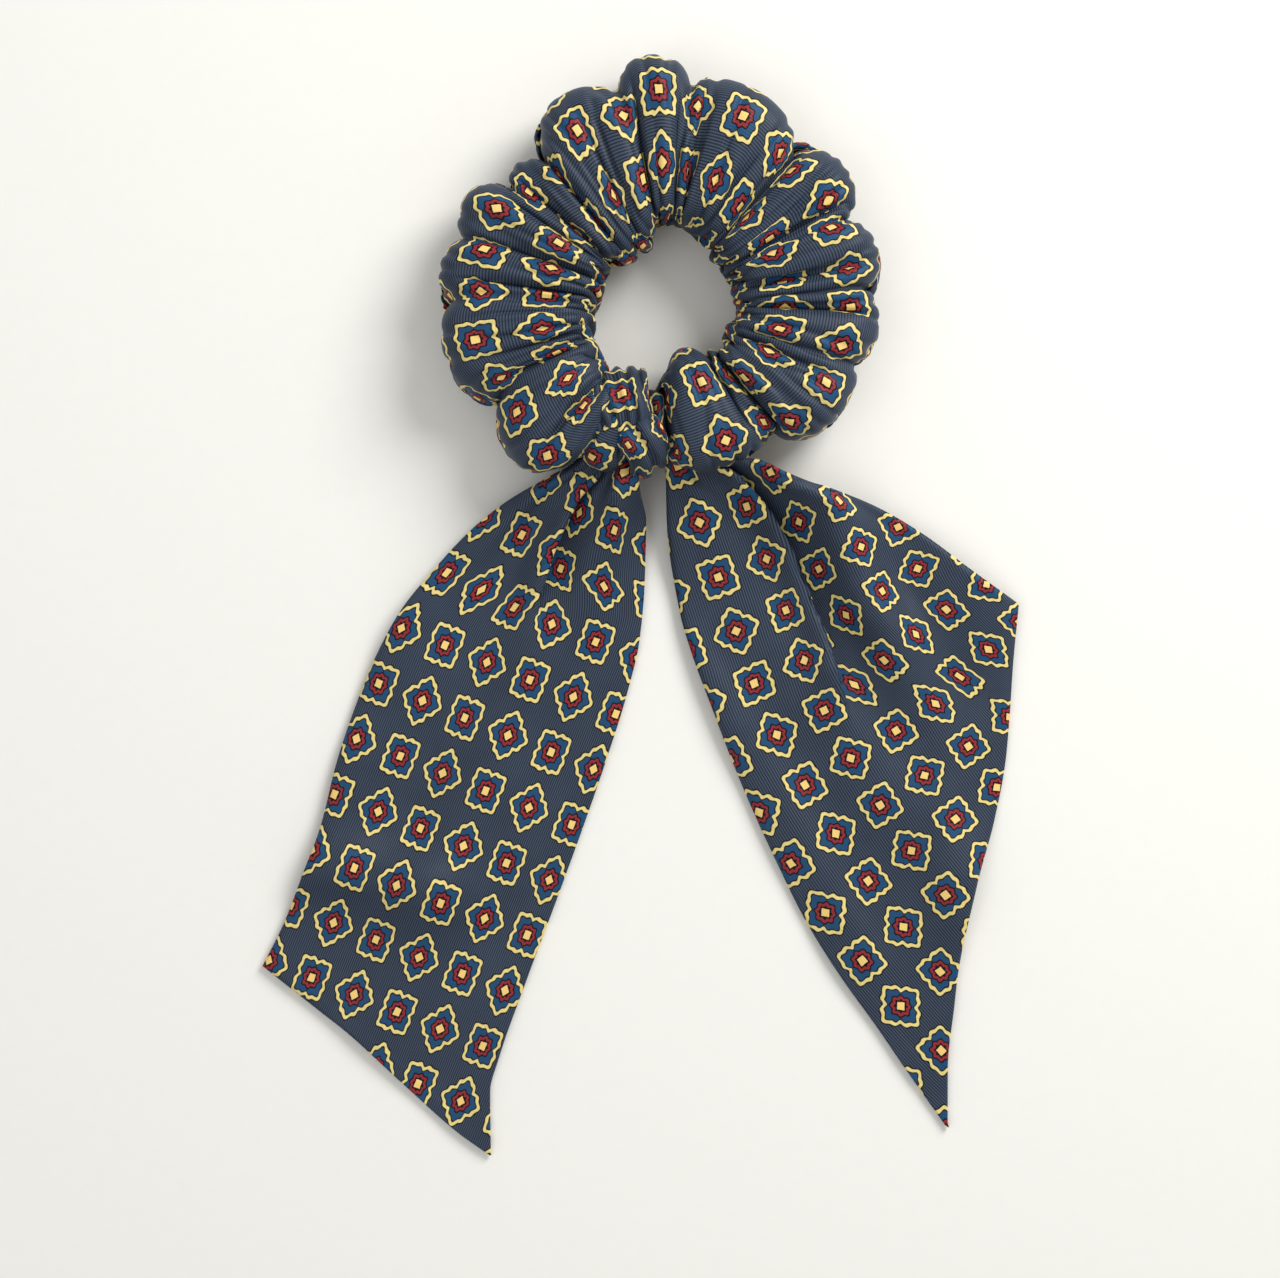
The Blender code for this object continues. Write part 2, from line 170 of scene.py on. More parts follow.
def printed_satin(name):
    """Navy satin twill with a small medallion at every half repeat, each second one turned by 45 degrees."""
    g = Graph(name)
    cloth = g.node("ShaderNodeUVMap", uv_map="Cloth").outputs["UV"]
    wobble = g.node("ShaderNodeTexNoise")
    g.put(wobble.inputs["Vector"], cloth)
    g.put(wobble.inputs["Scale"], WOBBLE_SCALE)
    g.put(wobble.inputs["Detail"], 2.0)
    split = g.node("ShaderNodeSeparateXYZ")
    g.put(split.inputs[0], cloth)
    wob = g.node("ShaderNodeSeparateXYZ")
    g.put(wob.inputs[0], wobble.outputs["Color"])
    a, b = (
        g.maths("MULTIPLY_ADD", g.maths("SUBTRACT", wob.outputs[k], 0.5), WOBBLE, split.outputs[k])
        for k in (0, 1)
    )

    def cell(value, shift):
        moved = g.maths("SUBTRACT", value, shift)
        return g.maths("SUBTRACT", moved, g.maths("ROUND", moved))

    ax, ay, bx, by = cell(a, 0.0), cell(b, 0.0), cell(a, 0.5), cell(b, 0.5)
    far_a = g.maths("ADD", g.maths("MULTIPLY", ax, ax), g.maths("MULTIPLY", ay, ay))
    far_b = g.maths("ADD", g.maths("MULTIPLY", bx, bx), g.maths("MULTIPLY", by, by))
    turned = g.maths("GREATER_THAN", far_a, far_b)
    half = math.sqrt(0.5)
    tx = g.maths("MULTIPLY", g.maths("SUBTRACT", bx, by), half)
    ty = g.maths("MULTIPLY", g.maths("ADD", bx, by), half)

    def pick(one, two):
        return g.maths("MULTIPLY_ADD", g.maths("SUBTRACT", two, one), turned, one)

    x = g.maths("MULTIPLY", pick(ax, tx), PITCH / MM)
    y = g.maths("MULTIPLY", pick(ay, ty), PITCH / MM)
    r = g.maths("SQRT", g.maths("ADD", g.maths("MULTIPLY", x, x), g.maths("MULTIPLY", y, y)))
    turn = g.maths("ARCTAN2", y, x)

    def from_outline(shape, scallops):
        """How far outside a four-sided outline with this many scallops a place is."""
        base, bulge, scallop = shape
        four, waves = (g.maths("COSINE", g.maths("MULTIPLY", turn, float(count))) for count in (4, scallops))
        first = g.maths("MULTIPLY_ADD", four, -bulge, base)
        return g.maths("SUBTRACT", r, g.maths("MULTIPLY_ADD", waves, -scallop, first))

    def within(distance, limits):
        return g.maths("SUBTRACT", 1.0, g.step(distance, *limits))

    def line(distance, middle, half):
        away = g.maths("ABSOLUTE", g.maths("SUBTRACT", distance, middle))
        return within(away, (half - LINE_SOFT, half + LINE_SOFT))

    edge = from_outline(CREAM_OUTLINE, 12)
    petals = from_outline(PETAL_OUTLINE, 8)
    box = g.maths("MAXIMUM", g.maths("ABSOLUTE", x), g.maths("ABSOLUTE", y))
    fine = g.place()
    twill = g.node("ShaderNodeTexWave", wave_type="BANDS", bands_direction="DIAGONAL", wave_profile="SIN")
    mirrored = g.node("ShaderNodeVectorMath", operation="MULTIPLY")  # so that the ribs run along the strip
    g.put(mirrored.inputs[0], cloth)
    mirrored.inputs[1].default_value = (1.0, -1.0, 1.0)
    g.put(twill.inputs["Vector"], mirrored.outputs[0])
    # a diagonal wave of scale 1 has 10 * sqrt(2) / (2 * pi) bands to the unit
    g.put(twill.inputs["Scale"], PITCH / TWILL * 2 * math.pi / (10 * math.sqrt(2)))
    g.put(twill.inputs["Distortion"], 0.25)
    g.put(twill.inputs["Detail"], 0.0)
    rib = twill.outputs["Fac"]
    cloudy = g.noise(fine, 90.0, 3.0)
    ground = g.mix(g.maths("MULTIPLY_ADD", rib, 0.70, g.maths("MULTIPLY", cloudy, 0.25)), NAVY, NAVY_WARP)
    thread = g.noise(fine, 1400.0, 1.0)
    colour = ground
    for share, paint in (  # from the ground up
        (within(edge, BLUE_FROM), BLUE),
        (within(petals, PETAL_INK), INK),
        (line(petals, PETAL_MIDDLE, PETAL_HALF), RED),
        (within(box, CENTRE_INK_HALF), INK),
        (within(box, CENTRE_HALF), CENTRE),
        (line(edge, 0.0, CREAM_INK_HALF), INK),
        (line(edge, 0.0, CREAM_HALF), g.mix(thread, CREAM_DEEP, CREAM)),
    ):
        colour = g.mix(share, colour, paint)
    g.put(g.shader.inputs["Base Color"], colour)
    g.put(g.shader.inputs["Roughness"], g.maths("MULTIPLY_ADD", rib, 0.10, 0.40))
    g.shader.inputs["Sheen Weight"].default_value = 0.05
    g.shader.inputs["Sheen Roughness"].default_value = 0.35
    g.shader.inputs["Sheen Tint"].default_value = (0.62, 0.74, 0.90, 1.0)
    g.shader.inputs["Specular IOR Level"].default_value = 0.15
    weft = g.noise(cloth, 260.0, 1.0)
    relief = g.maths("MULTIPLY_ADD", weft, 0.35, rib)
    bump = g.node("ShaderNodeBump")
    bump.inputs["Strength"].default_value = 0.32
    bump.inputs["Distance"].default_value = TWILL_DEPTH
    g.put(bump.inputs["Height"], relief)
    g.put(g.shader.inputs["Normal"], bump.outputs["Normal"])
    return g.material


def plain(name, one, two, scale, rough, bump_depth=0.00005, sheen=0.2):
    """A matt material whose colour and relief follow one fine grain."""
    g = Graph(name)
    grain = g.noise(g.place(), scale, 3.0, 0.6)
    g.put(g.shader.inputs["Base Color"], g.mix(grain, one, two))
    g.put(g.shader.inputs["Roughness"], g.maths("MULTIPLY_ADD", grain, 0.1, rough))
    g.shader.inputs["Sheen Weight"].default_value = sheen
    bump = g.node("ShaderNodeBump")
    bump.inputs["Strength"].default_value = 0.5
    bump.inputs["Distance"].default_value = bump_depth
    g.put(bump.inputs["Height"], grain)
    g.put(g.shader.inputs["Normal"], bump.outputs["Normal"])
    return g.material


RING_SATIN = printed_satin("ring_satin")
SCARF_SATIN = printed_satin("scarf_satin")
THREAD = plain("navy_thread", srgb(26, 30, 46), srgb(44, 50, 70), 2600.0, 0.55)
ELASTIC = plain("knitted_elastic", srgb(226, 224, 216), srgb(196, 193, 184), 1700.0, 0.8)
PAPER = plain("paper", srgb(245, 245, 241), srgb(242, 242, 238), 240.0, 0.9, 0.00002, 0.0)

floor_mesh = bpy.data.meshes.new("floor")
floor_corners = [(x * FLOOR_REACH, y * FLOOR_REACH, 0) for x, y in ((-1, -1), (1, -1), (1, 1), (-1, 1))]
floor_mesh.from_pydata(floor_corners, [], [(0, 1, 2, 3)])
floor_mesh.materials.append(PAPER)
floor = bpy.data.objects.new("floor", floor_mesh)
scene.collection.objects.link(floor)


# ---- meshes from grids -----------------------------------------------------------------------------
BAKE_MARGIN = 0.002


def piece_from_grid(name, points, cloth, material, round_rows=False, round_columns=False):
    """points[i, j] in metres. cloth[i, j] in print repeats, a row or column longer where the grid closes."""
    rows, columns = points.shape[:2]
    faces, where = [], []
    last_row = rows if round_rows else rows - 1
    last_column = columns if round_columns else columns - 1
    for i in range(last_row):
        for j in range(last_column):
            n, m = (i + 1) % rows, (j + 1) % columns
            faces.append((i * columns + j, i * columns + m, n * columns + m, n * columns + j))
            where += [(i, j), (i, j + 1), (i + 1, j + 1), (i + 1, j)]
    mesh = bpy.data.meshes.new(name)
    mesh.from_pydata(points.reshape(-1, 3).tolist(), [], faces)
    where = np.array(where)
    on_print = cloth[where[:, 0], where[:, 1]]
    mesh.uv_layers.new(name="Cloth").uv.foreach_set("vector", on_print.astype(np.float32).ravel())
    share = where / np.array([last_row, last_column]) * (1 - 2 * BAKE_MARGIN) + BAKE_MARGIN
    mesh.uv_layers.new(name="OFBake").uv.foreach_set("vector", share.astype(np.float32).ravel())
    mesh.uv_layers["Cloth"].active_render = True
    mesh.materials.append(material)
    mesh.polygons.foreach_set("use_smooth", [True] * len(mesh.polygons))
    mesh.update()
    piece = bpy.data.objects.new(name, mesh)
    scene.collection.objects.link(piece)
    return piece


def print_place(along, across, shift=(0.0, 0.0)):
    """Where the print's repeat falls for a place on the cloth, whose length runs on the bias."""
    angle = math.radians(45.0)
    a = (along * math.cos(angle) - across * math.sin(angle)) / PITCH + shift[0]
    b = (along * math.sin(angle) + across * math.cos(angle)) / PITCH + shift[1]
    return np.stack([a, b], -1)


def curve_through(ends, at):
    """Reads a smooth curve through (place, value) pairs. It never swings past them."""
    ends = np.array(ends, float)
    x, y = ends[:, 0], ends[:, 1]
    if x[0] > x[-1]:
        x, y = x[::-1], y[::-1]
    slope = np.diff(y) / np.diff(x)
    before, after = slope[:-1], slope[1:]
    total = np.where(after + before == 0, 1, after + before)
    tangent = np.concatenate([slope[:1], (after * before > 0) * 2 * after * before / total, slope[-1:]])
    at = np.clip(at, x[0], x[-1])
    i = np.clip(np.searchsorted(x, at, side="right") - 1, 0, len(x) - 2)
    h = x[i + 1] - x[i]
    t = (at - x[i]) / h
    return ((2 * t**3 - 3 * t**2 + 1) * y[i] + (t**3 - 2 * t**2 + t) * h * tangent[i]
            + (-2 * t**3 + 3 * t**2) * y[i + 1] + (t**3 - t**2) * h * tangent[i + 1])


def smooth_step(t):
    t = np.clip(t, 0, 1)
    return t * t * (3 - 2 * t)


# ---- the gathered ring cover -----------------------------------------------------------------------
AROUND, ACROSS = 448, 64  # columns round the ring, points round the tube
BIAS = math.sqrt(2) * PITCH  # the print's repeat along the bias
CUT_LENGTH, CUT_WIDTH = 15 * BIAS, 4 * BIAS  # the strip before gathering: whole repeats, so its print meets
SEAM_AT = 82.5  # where the closing seam lies, in degrees
ALONG_STEP, ROUND_STEP = CUT_LENGTH / AROUND, CUT_WIDTH / ACROSS
PUFFS = (  # each puff's direction and reach in millimetres from the opening's middle, then its crease's
    (14, 54.4, 26, 50.2), (39, 56.4, 53, 48.6), (70, 58.4, 84, 56.6), (95.5, 63.0, 103, 55.8),
    (117, 59.2, 131, 46.4), (137, 52.2, 143, 49.4), (152, 57.8, 162, 54.8), (172, 58.0, 181, 54.2),
    (193, 57.4, 210, 48.2), (224, 54.6, 237, 45.0), (247, 44.5, 255, 37.0), (261, 37.0, 267, 35.5),
    (290, 42.6, 311, 42.4), (331, 51.0, 343, 50.0), (353, 52.8, 364, 50.2),
)
OPENING = (  # the opening's own reach, by direction
    (7, 16.1), (30, 15.6), (50, 15.8), (70, 18.5), (90, 20.4), (98, 18.7), (107, 14.4), (134, 14.1),
    (146, 16.9), (172, 16.2), (200, 19.2), (217, 20.2), (232, 22.0), (247, 20.5), (260, 20.5), (268, 13.5),
    (280, 10.3), (300, 11.3), (322, 16.1), (338, 14.8), (356, 16.8),
)
START_HEIGHT, TUBE_HEIGHT, TUBE_MIDDLE = 0.0126, 0.0131, 0.0129
FULL_HALF_WIDTH = 0.019  # a tube at least this wide on each side reaches its full height
PINCH_AT, PINCH_SPAN, PINCH_HEIGHT = 259.0, 10.0, 0.0074  # where the scarf's knot holds the ring
TURN_FROM = math.radians(245)  # where the lengthwise seam lies round the tube
GATHER_DEPTH = 0.0010  # of the opening's own small gathers
CREASE_SHARP = 0.985
LEAN, SWIRL_BY, LEAN_STEPS = 13.0, 7.0, 90  # how far creases turn, in degrees: inwards, and round the tube
FILL, WEIGHT, KEEPS_MOVING = 0.00005, 0.000012, 0.90
THREAD_ROUNDS, CLOTH_ROUNDS, QUICK_ROUNDS = 4, 170, 60
SHORT_STIFF, DIAGONAL_STIFF, DIAGONAL_SHORT = 0.8, 0.25, 0.15
BENDING = ((2, 0.68, 0.45), (4, 0.42, 0.3), (6, 0.26, 0.15))  # points apart, least share of that, stiffness
FOLD_GAP, NARROWEST = 0.00030, 0.012
TUBE_POWER, PUSHED_BACK = 2.3, 0.8
LOWEST = 0.0003  # the cover's underside over the floor
WRINKLES, WRINKLE_DEPTH, WRINKLE_WIDTH, WRINKLE_OUT = 62, 0.0013, 0.16, 0.4


def wrapped(table):
    table = np.array(table, float)
    return np.concatenate([table[-1:] - [[360, 0]], table, table[:1] + [[360, 0]]])


def puff_reach(deg):
    """The outer reach this way, how deep in a crease it is (0 to 1), and a count of puffs up to here."""
    table = np.array(PUFFS, float)
    start = table[-1, 2] - 360
    deg = (deg - start) % 360 + start
    i = np.clip(np.searchsorted(table[:, 2], deg), 0, len(table) - 1)
    last = np.concatenate([[[start, table[-1, 3]]], table[:-1, 2:]])[i]
    crest, reach, notch, low = table[i].T
    after = deg > crest
    t = np.where(after, (deg - crest) / (notch - crest), (crest - deg) / (crest - last[:, 0]))
    crease = 1 - np.sqrt(1 - CREASE_SHARP * np.clip(t, 0, 1) ** 2)
    reach = reach - (reach - np.where(after, low, last[:, 1])) * crease
    return reach * MM, crease, i + 0.5 + 0.5 * np.where(after, t, -t)


def slanted(deg, rounds):
    """Creases don't run straight out: each leans a few degrees to one side, more near the opening."""
    table_at = np.linspace(0, 360, LEAN_STEPS + 1)
    lean, swirl = (np.interp(deg % 360, table_at, table) for table in (SLANT, SWIRL))
    return deg + lean * (0.5 - 0.5 * np.cos(rounds)) + swirl * np.sin(rounds)


def reach_at(deg, rounds):
    turned = slanted(deg, np.broadcast_to(rounds, deg.shape))
    return [part.reshape(deg.shape) for part in puff_reach(turned.ravel())]


def opening_reach(deg):
    table = wrapped(OPENING)
    return np.interp(deg % 360, table[:, 0], table[:, 1]) * MM


def pinched(deg):
    return np.exp(-((np.abs((deg - PINCH_AT + 180) % 360 - 180) / PINCH_SPAN) ** 4))


def slow_noise(count, waves, seed):
    """A closed line of random values with up to this many waves, at most 1 from nought."""
    share = np.fft.rfft(np.random.default_rng(seed).normal(size=count))
    share[waves:] = 0
    line = np.fft.irfft(share, count)
    return line / np.abs(line).max()


SLANT = LEAN * np.resize(slow_noise(LEAN_STEPS, 14, 21), LEAN_STEPS + 1)
SWIRL = SWIRL_BY * np.resize(slow_noise(LEAN_STEPS, 12, 22), LEAN_STEPS + 1)


def gather_ripple(count):
    """The opening's own small gathers, two to a puff, with sharp creases between."""
    return 1 - np.sqrt(1 - 0.97 * (2 * (2 * count % 1) - 1) ** 2)


def tube_height(full, half, crease, crease_dip):
    """Half the tube's height: narrow stretches and creases lie lower."""
    return full * (0.70 + 0.30 * np.minimum(half / FULL_HALF_WIDTH, 1)) - crease_dip * crease


def gathered_start():
    """The drawn ring with rippled puffs, from which the cloth finds its folds."""
    deg = SEAM_AT + np.linspace(0, 360, AROUND, endpoint=False) + 1.2 * slow_noise(AROUND, 24, 3)
    turn = TURN_FROM + np.linspace(0, 2 * np.pi, ACROSS, endpoint=False)
    ways, rounds = np.meshgrid(np.radians(deg), turn, indexing="ij")
    outer, crease, count = reach_at(np.degrees(ways), rounds)
    inner = opening_reach(deg)[:, None] + GATHER_DEPTH * gather_ripple(count)
    held = pinched(deg)[:, None]
    half, middle = (outer - inner) / 2, (outer + inner) / 2
    tall = tube_height(START_HEIGHT, half, crease, 0.0030)
    tall = tall * (1 - held) + held * PINCH_HEIGHT
    inwards = 0.5 - 0.5 * np.cos(rounds)
    ripple = np.cos(4 * np.pi * (count + 0.25)) * 0.0021 * inwards
    ripple += np.cos(6 * np.pi * count + 1.0 + 1.5 * np.sin(rounds)) * 0.0008
    ripple += np.cos(2.7 * np.pi * count + 2.6 * np.sin(rounds)) * 0.0014
    fine = np.stack([slow_noise(AROUND, 80, 40 + k) for k in range(6)], 1)
    waves = [wave(k * turn) for k in (1, 2, 3) for wave in (np.cos, np.sin)]
    ripple += 0.0026 * (fine @ np.stack(waves))
    puff = (-crease * (0.0040 - 0.0015 * inwards) + ripple - 0.0010) * (1 - 0.6 * held)
    reach = middle + (half + puff) * np.cos(rounds)
    return np.stack([
        HOLE[0] + reach * np.cos(ways), HOLE[1] + reach * np.sin(ways),
        TUBE_MIDDLE + (tall + 0.85 * puff) * np.sin(rounds),
    ], -1)


def pull(one, two, length, stiff, stiff_short):
    """How far each end of a stretched or squeezed thread moves."""
    way = two - one
    now = np.sqrt((way * way).sum(-1, keepdims=True)) + 1e-12
    return way * (0.5 * np.where(now < length, stiff_short, stiff) * (now - length) / now)


def back(values, axis):
    return np.roll(values, 1, axis)


def on(values, axis):
    return np.roll(values, -1, axis)


def normals(points):
    """The ring's outward direction at each point."""
    normal = np.cross(on(points, 0) - back(points, 0), on(points, 1) - back(points, 1))
    return normal / (np.sqrt((normal * normal).sum(-1, keepdims=True)) + 1e-12)


def rolling_mean(values, reach):
    """The mean over the columns up to this far on each side."""
    padded = np.concatenate([values[-reach - 1:], values, values[:reach]])
    total = np.cumsum(padded, axis=0)
    return (total[2 * reach + 1:] - total[:-2 * reach - 1]) / (2 * reach + 1)


def pull_threads(points):
    """Threads keep their length, and the weave between them shears softly."""
    for axis, length in ((0, ALONG_STEP), (1, ROUND_STEP)):
        grid = np.moveaxis(points, axis, 0)
        move = pull(grid[0::2], grid[1::2], length, 1.0, SHORT_STIFF)
        grid[0::2] += move
        grid[1::2] -= move
        move = pull(grid[1::2], on(grid[0::2], 0), length, 1.0, SHORT_STIFF)
        grid[1::2] += move
        grid[0::2] -= back(move, 0)
    diagonal = math.hypot(ALONG_STEP, ROUND_STEP)
    for side in (1, -1):
        move = pull(points, np.roll(points, (-1, -side), (0, 1)), diagonal, DIAGONAL_STIFF, DIAGONAL_SHORT)
        points = points + move - np.roll(move, (1, side), (0, 1))
    return points


def resist_bending(points):
    for step, least, stiff in BENDING:
        for axis, length in ((0, ALONG_STEP), (1, ROUND_STEP)):
            move = pull(points, np.roll(points, -step, axis), least * step * length, 0.0, stiff)
            points = points + 0.5 * move - 0.5 * np.roll(move, step, axis)
    return points


def keep_order(way, reach):
    """One fold never passes through the next."""
    least = FOLD_GAP / np.maximum(reach, NARROWEST)
    for _ in range(3):
        gap = np.concatenate([way[1:], way[:1] + 2 * np.pi]) - way
        push = np.minimum(gap - least, 0) * 0.5
        way = way + push - np.concatenate([push[-1:], push[:-1]])
    return way


def hold_in(way, reach, height):
    """The elastic, the knot and the drawn outline hold the cloth, which lies on the surface."""
    deg = np.degrees(way)
    outer, crease, count = reach_at(deg, round_angle)
    outer = outer - 0.0022 * crease
    inner = opening_reach(deg) + GATHER_DEPTH * gather_ripple(count)
    held = pinched(deg)
    middle, half = (outer + inner) / 2, (outer - inner) / 2
    tall = tube_height(TUBE_HEIGHT, half, crease, 0.0042)
    tall = tall * (1 + 0.07 * np.cos(2.4 * np.pi * count + 0.5) - 0.05)
    tall = tall * (1 - held) + held * PINCH_HEIGHT
    reach = reach + INNER_HOLD * (inner + 0.0022 - rolling_mean(reach, 8))
    reach = reach + OUTER_HOLD * (outer - 0.0012 - rolling_mean(reach, 3))
    across, up = np.abs((reach - middle) / half), np.abs((height - TUBE_MIDDLE) / tall)
    past = (across ** TUBE_POWER + up ** TUBE_POWER) ** (1 / TUBE_POWER)
    back_in = 1 + (1 / np.maximum(past, 1.0) - 1) * PUSHED_BACK
    height = np.maximum(TUBE_MIDDLE + (height - TUBE_MIDDLE) * back_in, LOWEST)
    return middle + (reach - middle) * back_in, height


def relax_cover(points, rounds):
    """Lets the gathered cloth find its folds: air fills it, its threads pull, and the ring holds it in."""
    before = points.copy()
    for _ in range(rounds):
        speed = (points - before) * KEEPS_MOVING
        before = points.copy()
        points = points + speed + normals(points) * FILL
        points[..., 2] -= WEIGHT
        for _ in range(THREAD_ROUNDS):
            points = pull_threads(points)
        points = resist_bending(points)
        x, y = points[..., 0] - HOLE[0], points[..., 1] - HOLE[1]
        reach = np.hypot(x, y)
        way = keep_order(np.unwrap(np.arctan2(y, x), axis=0), reach)
        reach, height = hold_in(way, reach, points[..., 2])
        points = np.stack([HOLE[0] + reach * np.cos(way), HOLE[1] + reach * np.sin(way), height], -1)
    return points


def small_wrinkles(points):
    """Pushes in small sharp wrinkles, running out from the opening, that the grid is too coarse to find."""
    rounds = np.arange(ACROSS) / ACROSS * 2 * np.pi
    wave = np.zeros(points.shape[:2])
    for k in range(4):
        one, two = (slow_noise(AROUND, WRINKLES, 60 + 2 * k + side)[:, None] for side in (0, 1))
        wave += (one * np.cos(k * rounds) + two * np.sin(k * rounds)) / (1 + 0.5 * k)
    deg = np.degrees(np.arctan2(points[..., 1] - HOLE[1], points[..., 0] - HOLE[0]))
    crease = reach_at(deg, round_angle)[1]
    depth = WRINKLE_DEPTH * (1 - 0.7 * crease) * (1 - 0.8 * pinched(deg))
    inwards = depth * (np.exp(-(wave / WRINKLE_WIDTH) ** 2) - WRINKLE_OUT)
    moved = points - normals(points) * inwards[..., None]
    moved[..., 2] = np.maximum(moved[..., 2], LOWEST)
    return moved


round_angle = TURN_FROM + np.linspace(0, 2 * np.pi, ACROSS, endpoint=False)
INNER_HOLD = 0.30 * np.exp(-((np.cos(round_angle) + 1) / 0.35) ** 2)  # the elastic's pull on the inner wall
OUTER_HOLD = 0.20 * np.exp(-((np.cos(round_angle) - 1) / 0.45) ** 2)  # the drawn outline's, on the outer
cover = relax_cover(gathered_start(), CLOTH_ROUNDS)
cover = 0.5 * cover + 0.125 * (back(cover, 0) + back(cover, 1) + on(cover, 0) + on(cover, 1))
cover = small_wrinkles(cover)
along, across = np.meshgrid(
    np.arange(AROUND + 1) * ALONG_STEP, np.arange(ACROSS + 1) * ROUND_STEP, indexing="ij"
)
ring = piece_from_grid("ring_cover", cover, print_place(along, across), RING_SATIN, True, True)


def subdivide(piece):
    made = piece.modifiers.new("smooth", "SUBSURF")
    made.levels = made.render_levels = 1
    made.uv_smooth = "PRESERVE_BOUNDARIES"


subdivide(ring)
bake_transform(ring)
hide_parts("cover_lower", "cover_upper")


# ---- the elastic, and the threads that show or hide in the cover -----------------------------------
STRIP_SIDES = 16


def strip_through(name, places, up_size, thick, material):
    """A flat strip on edge with capped ends, along the places."""
    way = np.gradient(places, axis=0)
    side = np.stack([way[:, 1], -way[:, 0], 0 * way[:, 0]], -1)
    side /= np.linalg.norm(side, axis=1, keepdims=True)
    turn = np.linspace(0, 2 * np.pi, STRIP_SIDES, endpoint=False)
    flat_x = squared(np.cos(turn), 0.6) * thick / 2
    flat_z = squared(np.sin(turn), 0.35) * up_size / 2
    up = np.array([0, 0, 1.0])
    grid = places[:, None] + side[:, None] * flat_x[None, :, None] + up * flat_z[None, :, None]
    cloth = np.zeros((len(places) + 1, STRIP_SIDES + 1, 2))
    piece = piece_from_grid(name, grid, cloth, material, False, True)
    end_caps(piece, len(places), STRIP_SIDES)
    return piece


def squared(wave, power):
    """Turns a circle's wave into that of a rounded square."""
    return np.sign(wave) * np.abs(wave) ** power


def end_caps(piece, rows, columns):
    """Closes the grid's first and last rows, with sharp edges."""
    work = bmesh.new()
    work.from_mesh(piece.data)
    work.verts.ensure_lookup_table()
    work.faces.new([work.verts[j] for j in range(columns)])
    work.faces.new([work.verts[(rows - 1) * columns + columns - 1 - j] for j in range(columns)])
    work.faces.ensure_lookup_table()
    for cap in work.faces[-2:]:
        for edge in cap.edges:
            edge.smooth = False
    bmesh.ops.recalc_face_normals(work, faces=work.faces)
    work.to_mesh(piece.data)
    work.free()


ELASTIC_INSET, ELASTIC_WIDE, ELASTIC_THICK, ELASTIC_STEPS = 0.0052, 0.006, 0.0009, 190
JOIN_AT, JOIN_SPAN = 205.0, 24.0  # where the elastic's ends overlap, in degrees
LAP, LAP_FROM, LAP_OVER = 0.0013, 0.80, 0.12  # how far out the upper end lies, over which share of the strip
wall = np.hypot(cover[..., 0] - HOLE[0], cover[..., 1] - HOLE[1]).min(axis=1)
heart_line = cover.mean(axis=1)
wall_at = np.degrees(np.unwrap(np.arctan2(heart_line[:, 1] - HOLE[1], heart_line[:, 0] - HOLE[0])))
for _ in range(60):
    wall = 0.5 * wall + 0.25 * (back(wall, 0) + on(wall, 0))


def elastic_line(turns, extra=0.0):
    """Places on the elastic, which lies just inside the cover's inner wall."""
    nearest = np.interp((turns - wall_at[0]) % 360 + wall_at[0], wall_at, wall, period=360)
    reach = nearest + ELASTIC_INSET + extra
    ways = np.radians(turns)
    level = np.full_like(ways, TUBE_MIDDLE)
    return np.stack([HOLE[0] + reach * np.cos(ways), HOLE[1] + reach * np.sin(ways), level], -1)


turns = np.linspace(JOIN_AT - JOIN_SPAN / 2, JOIN_AT + 360 + JOIN_SPAN / 2, ELASTIC_STEPS)
lapped = smooth_step((np.linspace(0, 1, ELASTIC_STEPS) - LAP_FROM) / LAP_OVER)
places = elastic_line(turns, LAP * lapped)
elastic = strip_through("elastic_loop", places, ELASTIC_WIDE, ELASTIC_THICK, ELASTIC)
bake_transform(elastic)
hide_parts("elastic_band")


SEAM_THREAD, CLOSING_THREAD, JOIN_THREAD = 0.0003, 0.00014, 0.00022  # each thread's radius


def thread_through(name, places, radius, sides):
    """A round thread along the places."""
    way = np.gradient(places, axis=0)
    way /= np.linalg.norm(way, axis=1, keepdims=True)
    side = np.cross(way, [0.13, 0.21, 0.97])
    side /= np.linalg.norm(side, axis=1, keepdims=True)
    up = np.cross(side, way)
    turn = np.linspace(0, 2 * np.pi, sides, endpoint=False)
    ring_of = side[:, None] * np.cos(turn)[None, :, None] + up[:, None] * np.sin(turn)[None, :, None]
    grid = places[:, None] + radius * ring_of
    piece = piece_from_grid(name, grid, np.zeros((len(places) + 1, sides + 1, 2)), THREAD, False, True)
    end_caps(piece, len(places), sides)
    return piece


# the lengthwise seam is hidden along the tube's underside, and the closing seam is sewn by hand across it
SEAM_ENDS, SEAM_INSET = 6, 0.20  # columns left at each end, and how far in the thread lies
under = np.argmin(cover[AROUND // 2, :, 2])
sewn = slice(SEAM_ENDS, -SEAM_ENDS)
seam_line = (1 - SEAM_INSET) * cover[sewn, under] + SEAM_INSET * heart_line[sewn]
for _ in range(12):
    seam_line[1:-1] = 0.5 * seam_line[1:-1] + 0.25 * (seam_line[:-2] + seam_line[2:])
seam = thread_through("cover_seam", seam_line, SEAM_THREAD, 8)
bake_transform(seam)
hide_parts("cover_seam_lower", "cover_seam_upper")

STITCHED, STITCH_OUT = range(10, 44), 0.0001  # the points round the tube that it crosses, and its rise
zigzag = np.array([cover[1 if k % 2 else -2, k] for k in STITCHED])
heart = heart_line[0]
zigzag = heart + (zigzag - heart) * (1 + STITCH_OUT / np.linalg.norm(zigzag - heart, axis=1, keepdims=True))
closing = thread_through("closing_thread", zigzag, CLOSING_THREAD, 6)
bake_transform(closing)
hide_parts("closing_stitch")
